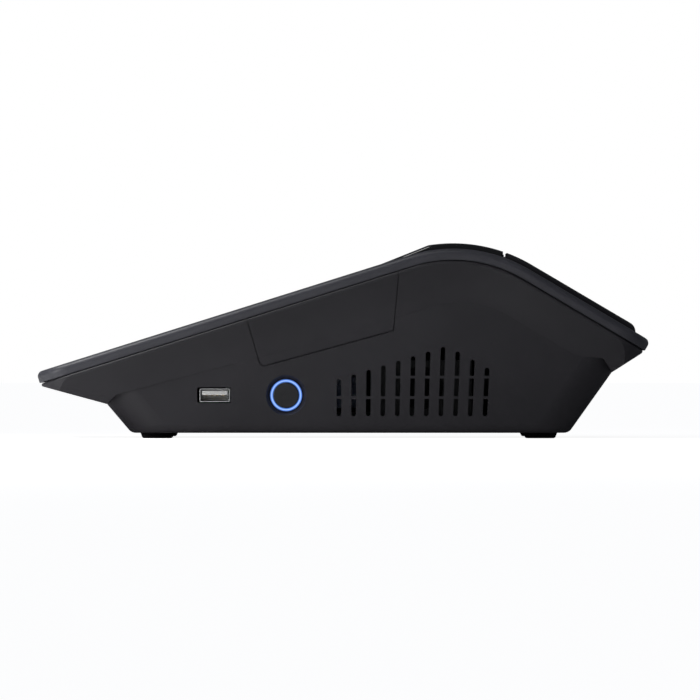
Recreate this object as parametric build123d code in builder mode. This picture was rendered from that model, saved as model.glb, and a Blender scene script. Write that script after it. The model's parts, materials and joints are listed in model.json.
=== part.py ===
"""POS touchscreen terminal with a built-in 80 mm receipt printer.

Frame: +X is the operator's right, the low front edge faces -Y, +Z is up.
The origin is on the table, under the middle of the case. Sizes are in mm.
"""
from build123d import *
from math import acos, atan2, cos, degrees, hypot, pi, radians, sin, tan
import os

os.makedirs("parts", exist_ok=True)

# ---------------------------------------------------------------- driving sizes
# case
half_width = 136.0
half_depth = 133.0
front_top_z = 28.7          # sharp corner of screen slope and front face
rear_top_z = 42.4           # sharp corner of rear slope and rear face
front_slope = 17.45         # degrees from level
rear_slope = 30.5
crown_radius = 65.0         # the rounded ridge between the two slopes
rim_band = 4.8              # thickness of the upper housing seen from the side
shadow_gap = 0.5            # groove between the upper and lower housings
rim_round = 2.5
rim_corner_radius = 13.0
wall = 2.5
skirt_wall = 1.2
lip_step = 0.4              # the sides of the lower housing stand out past the rim
lip_height = 1.2
flare_width = 4.4           # how far the lower side walls stand in under the lip
floor_z = 2.4               # underside of the case; the feet fill the space below
foot_corner_radius = 14.0
# touch display (10.1 inch, 16:10)
glass_width, glass_height, glass_thickness = 240.0, 145.0, 3.0
glass_centre = 78.0         # up the screen slope from its front corner
lcd_width, lcd_height, lcd_thickness = 229.5, 141.0, 4.2
# receipt printer, 80 mm paper
printer_x = half_width - 66.0
lid_width = 104.0
cover_raise = 2.4           # lid and crown cover stand this far above the rim
paper_width = 79.5
roll_radius = 22.0
platen_radius = 4.0
shaft_radius = 1.5
gear_module = 0.5
platen_teeth, idler_teeth, pinion_teeth = 16, 48, 12
hinge_from_edge, hinge_depth = 11.6, 2.2
hinge_pin_radius = 1.5
running_gap = 0.05          # radial gap of every turning fit
lid_gap = 0.3               # seam round lids and covers
# right-hand side
usb_width, usb_height, usb_depth = 13.1, 5.7, 14.0
usb_y, port_z = -55.9, 18.8
button_y = -24.8
button_radius, ring_inner, ring_outer, recess_radius = 5.45, 5.6, 7.0, 8.8
button_travel = 1.0
vent_count, vent_pitch, vent_width = 11, 6.4, 2.0
vent_first_y, vent_bottom_z = -1.8, 9.7
# rear sockets
io_left, io_right, io_bottom, io_top, io_wall_y = -100.0, 10.0, 9.0, 28.0, 86.0
board_top_z = 11.0

a, b = radians(front_slope), radians(rear_slope)
inner_edge = rim_round * (sin(a) + cos(a) - 1)
front_corner = (-(half_depth + inner_edge), front_top_z)
rear_corner = (half_depth + rim_round * (sin(b) + cos(b) - 1), rear_top_z)
screen_plane = Plane(origin=(0, *front_corner), x_dir=(1, 0, 0), z_dir=(0, -sin(a), cos(a)))
rear_plane = Plane(origin=(0, *rear_corner), x_dir=(1, 0, 0), z_dir=(0, sin(b), cos(b)))


def roof(drop, inset=0.0):
    """Front end, ridge and rear end (Y, Z) of the roof line, drop below the top surface."""
    start = (front_corner[0] + drop * sin(a) + inset * cos(a),
             front_corner[1] - drop * cos(a) + inset * sin(a))
    end = (rear_corner[0] - drop * sin(b) - inset * cos(b),
           rear_corner[1] - drop * cos(b) + inset * sin(b))
    ridge_y = (end[1] - start[1] + start[0] * tan(a) + end[0] * tan(b)) / (tan(a) + tan(b))
    return start, (ridge_y, start[1] + (ridge_y - start[0]) * tan(a)), end


def roof_z(y, drop=0.0):
    """Height of the roof line at a depth y, drop below the top surface."""
    start, ridge, end = roof(drop)
    radius = crown_radius - drop
    bisector = (b - a) / 2
    reach = radius / cos((a + b) / 2)
    centre = (ridge[0] - reach * sin(bisector), ridge[1] - reach * cos(bisector))
    if y < centre[0] - radius * sin(a):
        return start[1] + (y - start[0]) * tan(a)
    if y > centre[0] + radius * sin(b):
        return end[1] + (end[0] - y) * tan(b)
    return centre[1] + (radius ** 2 - (y - centre[0]) ** 2) ** 0.5


ridge_y, ridge_z = roof(0)[1]
platen_y, platen_z = ridge_y + 18.7, ridge_z - 16.2
slot_front_y, slot_rear_y = ridge_y + 13.7, ridge_y + 15.4
pin_y = rear_corner[0] - hinge_from_edge * cos(b) - hinge_depth * sin(b)
pin_z = rear_corner[1] + hinge_from_edge * sin(b) - hinge_depth * cos(b)
lid_end_radius = hinge_depth + cover_raise

part_drop = rim_band + shadow_gap
lip_x = half_width
rim_x = lip_x - lip_step
wall_x = lip_x - flare_width
front_crease = (front_corner[0] + 30.7, front_corner[1] - 13.7)
rear_crease = (rear_corner[0] - 16.75, rear_corner[1] - 13.5)
front_foot = (front_crease[0] + 5.7, front_crease[1] - 6.7)
rear_foot = (rear_crease[0] - 15.0, rear_crease[1] - 21.1)


# ---------------------------------------------------------------- housing form
def along(p, q, z):
    """Point at height z on the line through p and q."""
    t = (z - p[1]) / (q[1] - p[1])
    return (p[0] + t * (q[0] - p[0]), z)


def hull(inset, top_drop):
    """Outer form of the lower housing, drawn in by inset and cut off top_drop below the roof."""
    radius = foot_corner_radius - inset
    with BuildPart() as body:
        with BuildSketch(Plane.YZ):
            with BuildLine():
                Polyline(along(front_foot, front_crease, 70), along(front_foot, front_crease, floor_z),
                         along(rear_foot, rear_crease, floor_z), along(rear_foot, rear_crease, 70),
                         (ridge_y, 150), close=True)
            make_face()
            if inset:
                offset(amount=-inset, kind=Kind.INTERSECTION)
        extrude(amount=wall_x - inset, both=True)
        corners = body.edges().filter_by(
            lambda e: abs(abs(e.center().X) - wall_x + inset) < 0.01
            and abs(e.tangent_at(0).Z) > 0.5 and e.center().Z < 69)
        fillet(corners, radius)
        fillet(body.faces().sort_by(Axis.Z)[0].edges(), 4 - inset / 2)
        with BuildSketch(Plane.YZ):
            with BuildLine():
                start, ridge, end = roof(top_drop, -40)
                FilletPolyline(start, ridge, end, radius=crown_radius - top_drop)
                Polyline(end, (end[0], -30), (start[0], -30), start)
            make_face()
        extrude(amount=2 * half_width, both=True, mode=Mode.INTERSECT)

    step = 0.6
    top, lip = roof(top_drop, step), roof(part_drop + lip_height, step)
    with BuildPart() as flare:
        with BuildSketch(Plane.YZ):
            with BuildLine():
                FilletPolyline(top[0], top[1], top[2], radius=crown_radius - top_drop)
                Polyline(top[2], lip[2], rear_crease, (rear_crease[0] - 4, rear_crease[1] + 6),
                         (0, front_crease[1] + 30), (front_crease[0] + 4, front_crease[1] + 4),
                         front_crease, lip[0], top[0])
            make_face()
            if inset:
                offset(amount=-inset, kind=Kind.INTERSECTION)
        extrude(amount=lip_x - inset, both=True)

    # the side faces curve out from the crease line to the lip
    crease_front, crease_rear, crease_radius = 24.5, 22.0, 40.0
    edge_drop, edge_radius = part_drop + lip_height, crown_radius - part_drop - lip_height
    profiles = []
    for t in (0, 0.35, 0.7, 1):
        start = roof(crease_front + (edge_drop - crease_front) * t, -40)[0]
        end = roof(crease_rear + (edge_drop - crease_rear) * t, -40)[2]
        middle_y = (end[1] - start[1] + start[0] * tan(a) + end[0] * tan(b)) / (tan(a) + tan(b))
        middle = (middle_y, start[1] + (middle_y - start[0]) * tan(a))
        with BuildSketch(Plane.YZ.offset(wall_x - inset + flare_width * t ** 1.8)) as profile:
            with BuildLine():
                FilletPolyline(start, middle, end,
                               radius=crease_radius + (edge_radius - crease_radius) * t)
                Polyline(end, (end[0], 190), (start[0], 190), start)
            make_face()
        profiles.append(profile.sketch.faces()[0])
    with BuildPart() as limits:
        Box(2 * (wall_x - inset), 6 * half_depth, 500)
        add(loft(profiles))
        mirror(about=Plane.YZ)
    corner = rim_corner_radius - 0.1 - inset
    with BuildPart() as outward:
        add(flare.part & limits.part)
        for plane, side in ((screen_plane, 1), (rear_plane, -1)):
            with BuildSketch(plane):
                with Locations((0, side * (step + inset + 300))):
                    RectangleRounded(2 * (lip_x - inset), 600, corner)
            extrude(amount=400, both=True, mode=Mode.INTERSECT)
        with Locations((200, 0, 0)):
            Box(400, 600, 600, mode=Mode.INTERSECT)
        mirror(about=Plane.YZ)
        add(body.part)
    return outward.part



def roof_solid(top_drop, bottom_drop, width, y_from=None, y_to=None):
    """Plate that follows the roof line between two depths below it."""
    with BuildPart() as plate:
        with BuildSketch(Plane.YZ):
            with BuildLine():
                start, ridge, end = roof(top_drop)
                FilletPolyline(start, ridge, end, radius=crown_radius - top_drop)
                low_start, low_ridge, low_end = roof(bottom_drop)
                Line(end, low_end)
                FilletPolyline(low_end, low_ridge, low_start, radius=crown_radius - bottom_drop)
                Line(low_start, start)
            make_face()
        extrude(amount=width / 2, both=True)
        if y_from is not None:
            with Locations(((0, (y_from + y_to) / 2, 0))):
                Box(2 * width, y_to - y_from, 600, mode=Mode.INTERSECT)
    return plate.part


# ---------------------------------------------------------------- lower housing
outer_hull = hull(0, part_drop)
# small chamfer along the parting line of both sides
lip_edges = [e for e in outer_hull.edges() if abs((e @ 0.5).X) > rim_x
             and all(abs((e @ t).X) > lip_x - 0.01 and abs((e @ t).Z - roof_z((e @ t).Y, part_drop)) < 0.05
                     for t in (0, 1))]
outer_hull = outer_hull.chamfer(0.45, None, lip_edges)
tongue_hull = hull(lip_step + skirt_wall + 0.15, part_drop - 2)
inner_hull = hull(wall, -8)
cover_back = hull(1.5, -8)
pocket_back = hull(1.65, -8)

# outline of the access cover in the side wall
cover_outline = [(ridge_y - 98.6, 50.9 + 4), (ridge_y - 91.8, 31.4), (ridge_y - 34.2, 47.2),
                 (ridge_y - 31.6, 76)]
with BuildPart() as cover_block:
    with BuildSketch(Plane.YZ.offset(half_width - 14)):
        with BuildLine():
            Polyline(*cover_outline, close=True)
        make_face()
        fillet(vertices().group_by(Axis.Y)[0], 2)
    extrude(amount=20)
with BuildPart() as cover_pocket:
    with BuildSketch(Plane.YZ.offset(half_width - 14)):
        with BuildLine():
            Polyline(*cover_outline, close=True)
        make_face()
        fillet(vertices().group_by(Axis.Y)[0], 2)
        offset(amount=0.35)
    extrude(amount=20)
with BuildPart() as cover_window:
    with BuildSketch(Plane.YZ.offset(half_width - 14)):
        with BuildLine():
            Polyline(*cover_outline, close=True)
        make_face()
        offset(amount=-5)
    extrude(amount=20)
with BuildPart() as side_access_cover:
    add(outer_hull - cover_back)
    add(cover_block.part, mode=Mode.INTERSECT)
with BuildPart() as access_pocket:
    add(outer_hull - pocket_back)
    add(cover_pocket.part, mode=Mode.INTERSECT)

foot_places = [(x * (half_width - 30), y) for x in (-1, 1) for y in (-81.0, 86.0)]
screw_places = [(half_width - 14.5, -86, 24), (14.5 - half_width, -86, 24),
                (14.5 - half_width, 15, 36), (14.5 - half_width, 84, 34),
                (half_width - 13.5, 85, 34)]
board_places = [(-103, -54), (9, -54), (-103, 70), (9, 70)]
deck_posts = [(printer_x + x, platen_y + y) for x in (-37, 37) for y in (-28.5, -21.6)]
deck_z = platen_z - 30
side_board_posts = [(half_width - 22.5, -66), (half_width - 22.5, -14)]
side_board_top = port_z - usb_height / 2 - 0.05


def vent_top(i):
    """The slots grow towards the rear and shorten again over the last three."""
    return min(25.8 + 2.0 * i, 30.8 + 3.5 * (vent_count - 1 - i))



MIN = (Align.CENTER, Align.CENTER, Align.MIN)
MAX = (Align.CENTER, Align.CENTER, Align.MAX)

sockets = {"dc_jack": (-88, 9.0, 11.0, 14.0), "usb_stack": (-64, 15.0, 16.0, 17.5),
           "lan_jack": (-38, 16.0, 13.5, 21.0), "drawer_jack": (-12, 13.2, 11.5, 18.0)}

with BuildPart() as recess_walls:
    with Locations(((io_left + io_right) / 2, io_wall_y - 1.8, io_bottom - 1.8)):
        Box(io_right - io_left + 3.6, 60, io_top - io_bottom + 3.6,
            align=(Align.CENTER, Align.MIN, Align.MIN))
    add(outer_hull, mode=Mode.INTERSECT)

with BuildPart() as lower_housing:
    add(outer_hull)
    add(tongue_hull)
    add(inner_hull, mode=Mode.SUBTRACT)
    # screw tubes, posts and stand-offs rise from the floor
    for x, y, join_z in screw_places:
        with Locations((x, y, 4)):
            Cylinder(4, join_z - 4.1, align=MIN)
    for x, y in board_places:
        with Locations((x, y, 4)):
            Cylinder(3, board_top_z - 1.6 - 4, align=MIN)
    for x, y in deck_posts:
        with Locations((x, y, 4)):
            Cylinder(3.5, deck_z - 1.8 - 4, align=MIN)
    for x, y in side_board_posts:
        with Locations((x, y, 4)):
            Cylinder(2.75, side_board_top - 1.6 - 4, align=MIN)
    # rear socket recess with its openings
    add(recess_walls.part)
    with Locations(((io_left + io_right) / 2, io_wall_y, io_bottom)):
        Box(io_right - io_left, 60, io_top - io_bottom,
            align=(Align.CENTER, Align.MIN, Align.MIN), mode=Mode.SUBTRACT)
    for x, width, height, depth in sockets.values():
        with Locations((x, io_wall_y, board_top_z - 0.3)):
            Box(width + 0.8, 10, height + 0.7, align=MIN, mode=Mode.SUBTRACT)
    # side socket, button recess and cooling slots
    with BuildSketch(Plane.YZ.offset(wall_x - 6)):
        with Locations((usb_y - 0.35, port_z)):
            RectangleRounded(usb_width + 1.5, usb_height + 1.3, 1)
    extrude(amount=12, mode=Mode.SUBTRACT)
    with BuildSketch(Plane.YZ.offset(wall_x - 5)):
        with Locations((button_y, port_z)):
            Circle(recess_radius + 1.6)
    extrude(amount=4)
    with Locations(Location((wall_x - 2.2, button_y, port_z), (0, 90, 0))):
        Cone(ring_outer + 0.3, ring_outer + 0.3 + (recess_radius - ring_outer - 0.3) * 5 / 2.2, 5,
             align=MIN, mode=Mode.SUBTRACT)
    with BuildSketch(Plane.YZ.offset(wall_x - 6)):
        with Locations((button_y, port_z)):
            Circle(ring_outer + running_gap)
    extrude(amount=8, mode=Mode.SUBTRACT)
    with BuildSketch(Plane.YZ.offset(wall_x - 6)):
        for i in range(vent_count):
            length = vent_top(i) - vent_bottom_z
            with Locations((vent_first_y + vent_pitch * i, vent_bottom_z + length / 2)):
                SlotOverall(length, vent_width, rotation=90 - 0.28 * i)
        with Locations((vent_first_y + vent_pitch * 5, port_z - 1)):
            Rectangle(90, 1.2, mode=Mode.SUBTRACT)
        with Locations((vent_first_y + vent_pitch * 8, port_z + 7.9)):
            Rectangle(55, 1.2, mode=Mode.SUBTRACT)
    extrude(amount=12, mode=Mode.SUBTRACT)
    add(access_pocket.part, mode=Mode.SUBTRACT)
    # chamfer on the wall along the lower edge of the access cover
    low_a, low_b = cover_outline[1], cover_outline[2]
    slant = hypot(low_b[0] - low_a[0], low_b[1] - low_a[1])
    run = ((low_b[0] - low_a[0]) / slant, (low_b[1] - low_a[1]) / slant)
    edge_middle = (wall_x, (low_a[0] + low_b[0]) / 2 + 0.35 * run[1], (low_a[1] + low_b[1]) / 2 - 0.35 * run[0])
    with Locations(Plane(origin=edge_middle, x_dir=(0, *run), z_dir=(1, -run[1], run[0])).location):
        Box(slant - 5, 0.57, 0.57, mode=Mode.SUBTRACT)
    add(cover_window.part, mode=Mode.SUBTRACT)
    # screw holes, feet pockets
    for x, y, join_z in screw_places:
        with Locations((x, y, 0)):
            Cylinder(3.2, join_z - 4, align=MIN, mode=Mode.SUBTRACT)
            Cylinder(1.7, join_z + 5, align=MIN, mode=Mode.SUBTRACT)
    for x, y in board_places:
        with Locations((x, y, board_top_z)):
            Cylinder(1.25, 6.5, align=MAX, mode=Mode.SUBTRACT)
    for x, y in deck_posts:
        with Locations((x, y, deck_z)):
            Cylinder(1.25, 12, align=MAX, mode=Mode.SUBTRACT)
    for x, y in side_board_posts:
        with Locations((x, y, side_board_top)):
            Cylinder(1.25, 8, align=MAX, mode=Mode.SUBTRACT)
    for x, y in foot_places:
        with Locations((x, y, 0)):
            Cylinder(7.9, floor_z + 0.4, align=MIN, mode=Mode.SUBTRACT)

with BuildPart() as rubber_feet:
    for x, y in foot_places:
        with Locations((x, y, 0)):
            Cone(6.5, 7.65, floor_z + 0.4, align=MIN)
    fillet(rubber_feet.edges().group_by(Axis.Z)[0], 1.2)

# ---------------------------------------------------------------- upper housing
bay_front_y = ridge_y - 42.2
bay_width = lid_width + 2 * lid_gap
with BuildPart() as upper_cavity:
    add(roof_solid(wall, 14, 2 * (rim_x - skirt_wall)))
    for plane, side in ((screen_plane, 1), (rear_plane, -1)):
        with BuildSketch(plane):
            with Locations((0, side * (skirt_wall + 300))):
                RectangleRounded(2 * (rim_x - skirt_wall), 600,
                                 rim_corner_radius - skirt_wall)
        extrude(amount=400, both=True, mode=Mode.INTERSECT)

with BuildPart() as upper_ribs:
    # side walls of the printer bay, hinge trough and screw bosses, trimmed to the roof
    for side in (-1, 1):
        with Locations((printer_x + side * (bay_width / 2 + 1), (bay_front_y + pin_y) / 2, ridge_z - 30)):
            Box(2, pin_y - bay_front_y - 6, 60)
    add(roof_solid(1, 11, 2 * half_width + 60, bay_front_y - 2, pin_y), mode=Mode.INTERSECT)
with BuildPart() as hinge_tray:
    with Locations(Location((printer_x, pin_y, pin_z), (0, 90, 0))):
        Cylinder(lid_end_radius + 2, bay_width + 8)
    add(roof_solid(1, 30, 3 * half_width), mode=Mode.INTERSECT)
with BuildPart() as screw_bosses:
    for x, y, join_z in screw_places:
        with Locations((x, y, join_z)):
            Cylinder(3.5, 60, align=MIN)
    add(roof_solid(1, 60, 3 * half_width), mode=Mode.INTERSECT)
tab_places = [(x * (lcd_width / 2 + 4), glass_centre + y) for x in (-1, 1) for y in (-52, 0, 52)]
window_x, window_width, window_height = -60.0, 108.0, 30.0
window_centre = -33.0
display_posts = [(window_x + x, window_centre + y) for x in (-52, 52) for y in (-13.5, 13.5)]

with BuildPart() as upper_housing:
    add(roof_solid(0, rim_band, 2 * rim_x))
    corners = upper_housing.edges().filter_by(
        lambda e: abs(abs(e.center().X) - rim_x) < 0.01 and e.length < rim_band + 1)
    fillet(corners, rim_corner_radius)
    top_faces = upper_housing.faces().filter_by(lambda f: f.normal_at().Z > 0.5)
    edge_loop = top_faces.edges().filter_by(
        lambda e: abs(e.center().X) > 1 or abs(e.center().Y) > half_depth - 20)
    fillet(edge_loop, rim_round)
    add(upper_cavity.part, mode=Mode.SUBTRACT)
    add(upper_ribs.part)
    add(hinge_tray.part)
    add(screw_bosses.part)
    # frame round the touch glass, with posts for the display frame
    with BuildSketch(screen_plane.offset(-wall)):
        with Locations((0, glass_centre + 0.2)):
            Rectangle(glass_width + 5, glass_height + 4.2)
    extrude(amount=-(glass_thickness + 2.4 - wall))
    with BuildSketch(screen_plane.offset(-wall)):
        with Locations(*tab_places):
            Circle(3)
    extrude(amount=-(8.3 - wall))
    with BuildSketch(screen_plane):
        with Locations((0, glass_centre)):
            Rectangle(lcd_width + 0.6, lcd_height + 0.6)
    extrude(amount=-12, mode=Mode.SUBTRACT)
    with BuildSketch(screen_plane.offset(1)):
        with Locations((0, glass_centre)):
            RectangleRounded(glass_width + 0.6, glass_height + 0.6, 6)
    extrude(amount=-(glass_thickness + 1.2), mode=Mode.SUBTRACT)
    with BuildSketch(screen_plane.offset(-glass_thickness)):
        with Locations(*tab_places):
            Circle(1.25)
    extrude(amount=-12, mode=Mode.SUBTRACT)
    # customer display window and its posts
    with BuildSketch(rear_plane.offset(-1)):
        with Locations((window_x, window_centre)):
            Rectangle(window_width + 4, window_height + 4)
    extrude(amount=-3)
    with BuildSketch(rear_plane.offset(-1)):
        with Locations(*display_posts):
            Circle(2.6)
    extrude(amount=-8.9)
    with BuildSketch(rear_plane.offset(1)):
        with Locations((window_x, window_centre)):
            RectangleRounded(window_width + 0.6, window_height + 0.6, 2)
    extrude(amount=-3.1, mode=Mode.SUBTRACT)
    with BuildSketch(rear_plane):
        with Locations((window_x, window_centre)):
            Rectangle(window_width - 7, 22)
    extrude(amount=-9, mode=Mode.SUBTRACT)
    with BuildSketch(rear_plane.offset(-3.5)):
        with Locations(*display_posts):
            Circle(1.25)
    extrude(amount=-9, mode=Mode.SUBTRACT)
    # printer bay opening, hinge trough and pin holes
    with Locations((printer_x, (bay_front_y + pin_y) / 2, ridge_z)):
        Box(bay_width, pin_y - bay_front_y, 160, mode=Mode.SUBTRACT)
    with Locations(Location((printer_x, pin_y, pin_z), (0, 90, 0))):
        Cylinder(lid_end_radius + 0.55, bay_width, mode=Mode.SUBTRACT)
        Cylinder(hinge_pin_radius, bay_width + 6, mode=Mode.SUBTRACT)
    # release button hole
    with BuildSketch(rear_plane.offset(2)):
        with Locations((printer_x - lid_width / 2 - 12, -40)):
            RectangleRounded(12.6, 18.6, 3.3)
    extrude(amount=-8, mode=Mode.SUBTRACT)
    for x, y, join_z in screw_places:
        with Locations((x, y, join_z)):
            Cylinder(1.25, 12, align=MIN, mode=Mode.SUBTRACT)



# ---------------------------------------------------------------- screws
def screws(places, head_radius, head_height, shank_radius, shank_length):
    """One node of alike screws; each place is a Location whose -Z points down the hole."""
    with BuildPart() as group:
        for place in places:
            with Locations(place):
                Cylinder(shank_radius, shank_length, align=MAX)
                Cylinder(head_radius, head_height, align=MIN)
                with Locations((0, 0, head_height)):
                    Cylinder(head_radius * 0.45, head_height * 0.6, align=MAX, mode=Mode.SUBTRACT)
    return group


def turned(x, y, z, flip=False):
    return Location((x, y, z), (180, 0, 0)) if flip else Location((x, y, z))


housing_screws = screws([turned(x, y, z - 4.05, True) for x, y, z in screw_places], 2.8, 2.4, 1.2, 13)
board_screws = screws([turned(x, y, board_top_z + 0.02) for x, y in board_places]
                      + [turned(x, y, side_board_top + 0.02) for x, y in side_board_posts],
                      2.4, 1.6, 1.2, 6)
frame_screws = screws([turned(x, y, deck_z + 1.22) for x, y in deck_posts], 2.4, 1.8, 1.2, 10)
panel_screws = screws([screen_plane.location * Location((x, y, -9.4), (180, 0, 0))
                       for x, y in tab_places]
                      + [rear_plane.location * Location((x, y, -11.55), (180, 0, 0))
                         for x, y in display_posts], 2.2, 1.4, 1.2, 6)

# ---------------------------------------------------------------- touch display
with BuildPart() as touch_glass:
    with BuildSketch(screen_plane.offset(-0.15)):
        with Locations((0, glass_centre)):
            RectangleRounded(glass_width, glass_height, 5.7)
    extrude(amount=-glass_thickness)
lcd_front = -(0.15 + glass_thickness + 0.05)
with BuildPart() as lcd_module:
    with BuildSketch(screen_plane.offset(lcd_front)):
        with Locations((0, glass_centre)):
            Rectangle(lcd_width, lcd_height)
    extrude(amount=-lcd_thickness)
frame_front = -8.35
with BuildPart() as display_frame:
    with BuildSketch(screen_plane.offset(frame_front)):
        with Locations((0, glass_centre)):
            Rectangle(lcd_width + 1, lcd_height - 9)
            with Locations((-60, 0), (0, 0), (60, 0)):
                RectangleRounded(42, 84, 6, mode=Mode.SUBTRACT)
        with Locations(*tab_places):
            Rectangle(9, 10)
    extrude(amount=-1)
    with BuildSketch(screen_plane.offset(frame_front)):
        with Locations(*tab_places):
            Circle(1.4)
    extrude(amount=-1, mode=Mode.SUBTRACT)
    with BuildSketch(screen_plane.offset(frame_front + 0.9)):
        with Locations((0, glass_centre + 58), (0, glass_centre - 58)):
            Rectangle(180, 6)
    extrude(amount=-0.9)

# ---------------------------------------------------------------- customer display
with BuildPart() as customer_window:
    with BuildSketch(rear_plane.offset(-0.05)):
        with Locations((window_x, window_centre)):
            RectangleRounded(window_width, window_height, 1.7)
    extrude(amount=-2)
with BuildPart() as customer_display:
    with BuildSketch(rear_plane.offset(-2.4)):
        with Locations((window_x, window_centre)):
            Rectangle(window_width - 8, 21)
    extrude(amount=-7.3)
with BuildPart() as customer_board:
    with BuildSketch(rear_plane.offset(-9.95)):
        with Locations((window_x, window_centre)):
            Rectangle(window_width + 2, 33)
        with Locations(*display_posts):
            Circle(1.4, mode=Mode.SUBTRACT)
    extrude(amount=-1.6)

# ---------------------------------------------------------------- printer covers
ramp_low = (ridge_y - 42.3, roof_z(ridge_y - 42.3, 0.2))
ramp_top_y = ridge_y - 18.8


def cover_top(lower, y_from, y_to):
    """Solid below the raised cover line, lowered by a wall thickness."""
    with BuildPart() as block:
        with BuildSketch(Plane.YZ.offset(printer_x)):
            with BuildLine():
                start, ridge, end = roof(lower - cover_raise, -30)
                FilletPolyline(start, ridge, end, radius=crown_radius - lower + cover_raise)
                Polyline(end, (end[0], -30), (start[0], -30), start)
            make_face()
        extrude(amount=lid_width / 2 - lower, both=True)
        with Locations((printer_x, (y_from + y_to) / 2, 0)):
            Box(lid_width, y_to - y_from, 400, mode=Mode.INTERSECT)
    return block.part


crown_depth = 3.0
with BuildPart() as cover_skin:
    add(roof_solid(-8, crown_depth, 3 * half_width, ridge_y - 42.0, slot_front_y))
    add(cover_top(0, ridge_y - 42.0, slot_front_y), mode=Mode.INTERSECT)
    # the ramp cuts the front of the cover down to the rim surface
    with BuildSketch(Plane.YZ.offset(printer_x - lid_width)):
        with BuildLine():
            Polyline((ramp_low[0] - 20, ramp_low[1] - 20 * tan(radians(23))), (ramp_low[0] - 20, 160),
                     (ramp_top_y + 20, 160), (ramp_top_y + 20, roof_z(ramp_top_y, -cover_raise) + 6),
                     (ramp_top_y, roof_z(ramp_top_y, -cover_raise)), ramp_low, close=True)
        make_face()
    extrude(amount=2 * lid_width, mode=Mode.SUBTRACT)
    # its long edges are softly rounded
    fillet([e for e in cover_skin.edges() if e.center().Z > roof_z(e.center().Y, 0.35)
            and abs(abs(e.center().X - printer_x) - lid_width / 2) < 0.01], 2)
with BuildPart() as cover_hollow:
    add(cover_top(2.0, ridge_y - 40, slot_front_y - 2))
    with BuildSketch(Plane.YZ.offset(printer_x - lid_width)):
        with BuildLine():
            Polyline((ramp_low[0] - 20, ramp_low[1] - 22.2 - 20 * 0.05), (ramp_low[0] - 20, 160),
                     (ramp_top_y + 20, 160), (ramp_top_y + 20, roof_z(ramp_top_y, -cover_raise) + 4),
                     (ramp_top_y, roof_z(ramp_top_y, 2 - cover_raise)),
                     (ramp_low[0], ramp_low[1] - 2.1), close=True)
        make_face()
    extrude(amount=2 * lid_width, mode=Mode.SUBTRACT)
with BuildPart() as crown_cover:
    add(cover_skin.part)
    add(cover_hollow.part, mode=Mode.SUBTRACT)
    # seat for the tear bar along the paper slot
    with Locations((printer_x, slot_front_y + 0.1, roof_z(slot_front_y) + 1.3)):
        Box(86, 0.8, 12, align=(Align.CENTER, Align.CENTER, Align.MAX), mode=Mode.SUBTRACT)

bar_top = roof_z(slot_front_y) + 1.2
bar_left, tooth = printer_x - 42, 2.0
with BuildPart() as tear_bar:
    with BuildSketch(Plane.XZ.offset(-(slot_front_y + 0.45))):
        with BuildLine():
            teeth = [(bar_left + tooth * i / 2, bar_top - (0 if i % 2 else 0.8)) for i in range(85)]
            Polyline(*teeth, (bar_left + 84, bar_top - 3.4), (bar_left, bar_top - 3.4), close=True)
        make_face()
    extrude(amount=0.7)

shaft_from, shaft_to = printer_x - lid_width / 2 + 0.4, printer_x + lid_width / 2 - 0.4
lid_depth = 3.4
with BuildPart() as lid_skin:
    lid_rear_y = pin_y + lid_end_radius * sin(b)
    add(roof_solid(-8, lid_depth, 3 * half_width, slot_rear_y, lid_rear_y))
    add(cover_top(0, slot_rear_y, lid_rear_y), mode=Mode.INTERSECT)
    # ledge under the paper slot
    with BuildSketch(Plane.YZ.offset(printer_x)):
        with BuildLine():
            Polyline((slot_rear_y - 0.7, roof_z(slot_rear_y) + 1.1), (slot_rear_y + 0.5, roof_z(slot_rear_y) + 1.1),
                     (slot_rear_y + 0.5, roof_z(slot_rear_y) - 2.2), (slot_rear_y - 0.7, roof_z(slot_rear_y) - 1.6),
                     close=True)
        make_face()
    extrude(amount=lid_width / 2, both=True)
with BuildPart() as printer_lid:
    add(lid_skin.part)
    # the rear end is rounded about the hinge pin
    with Locations(Location((printer_x, pin_y, pin_z), (0, 90, 0))):
        Cylinder(lid_end_radius, lid_width)
    add(cover_top(2.2, slot_rear_y + 2, pin_y - 6), mode=Mode.SUBTRACT)
    with BuildSketch(Plane.YZ.offset(printer_x)):
        with Locations((pin_y, pin_z)):
            Circle(lid_end_radius - 2)
        with BuildLine():
            Polyline((pin_y - 9, pin_z - 20), (pin_y + 1.2, pin_z - 20), (pin_y + 1.2, pin_z),
                     (pin_y - 2, pin_z + 2), (pin_y - 9, pin_z + 5.9), close=True)
        make_face()
    extrude(amount=lid_width / 2 - 7, both=True, mode=Mode.SUBTRACT)
    # lugs at both ends carry the platen
    for side in (-1, 1):
        with BuildSketch(Plane.YZ.offset(printer_x + side * (lid_width / 2 - 1))):
            with Locations((platen_y, platen_z)):
                Circle(4.6)
            with BuildLine():
                Polyline((platen_y - 2.6, platen_z - 1), (platen_y + 4.6, platen_z),
                         (platen_y + 12, roof_z(platen_y + 12, 1.5)),
                         (platen_y - 2.6, roof_z(platen_y - 2.6, 1)), close=True)
            make_face()
        extrude(amount=1, both=True)
    with Locations(Location((printer_x, platen_y, platen_z), (0, 90, 0))):
        Cylinder(3, lid_width + 2, mode=Mode.SUBTRACT)
        Cylinder(platen_radius + 0.6, 82, mode=Mode.SUBTRACT)
    # relief round the platen gear
    with Locations(Location((printer_x + 43.7, platen_y, platen_z), (0, 90, 0))):
        Cylinder(platen_radius + 1.2, 5.2, align=MIN, mode=Mode.SUBTRACT)
    with Locations(Location((printer_x, pin_y, pin_z), (0, 90, 0))):
        Cylinder(hinge_pin_radius + running_gap, lid_width + 2, mode=Mode.SUBTRACT)
    fillet([e for e in printer_lid.edges() if e.center().Z > roof_z(e.center().Y, 0.1)
            and abs(abs(e.center().X - printer_x) - lid_width / 2) < 0.01 and e.length > 8], 1.2)

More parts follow.
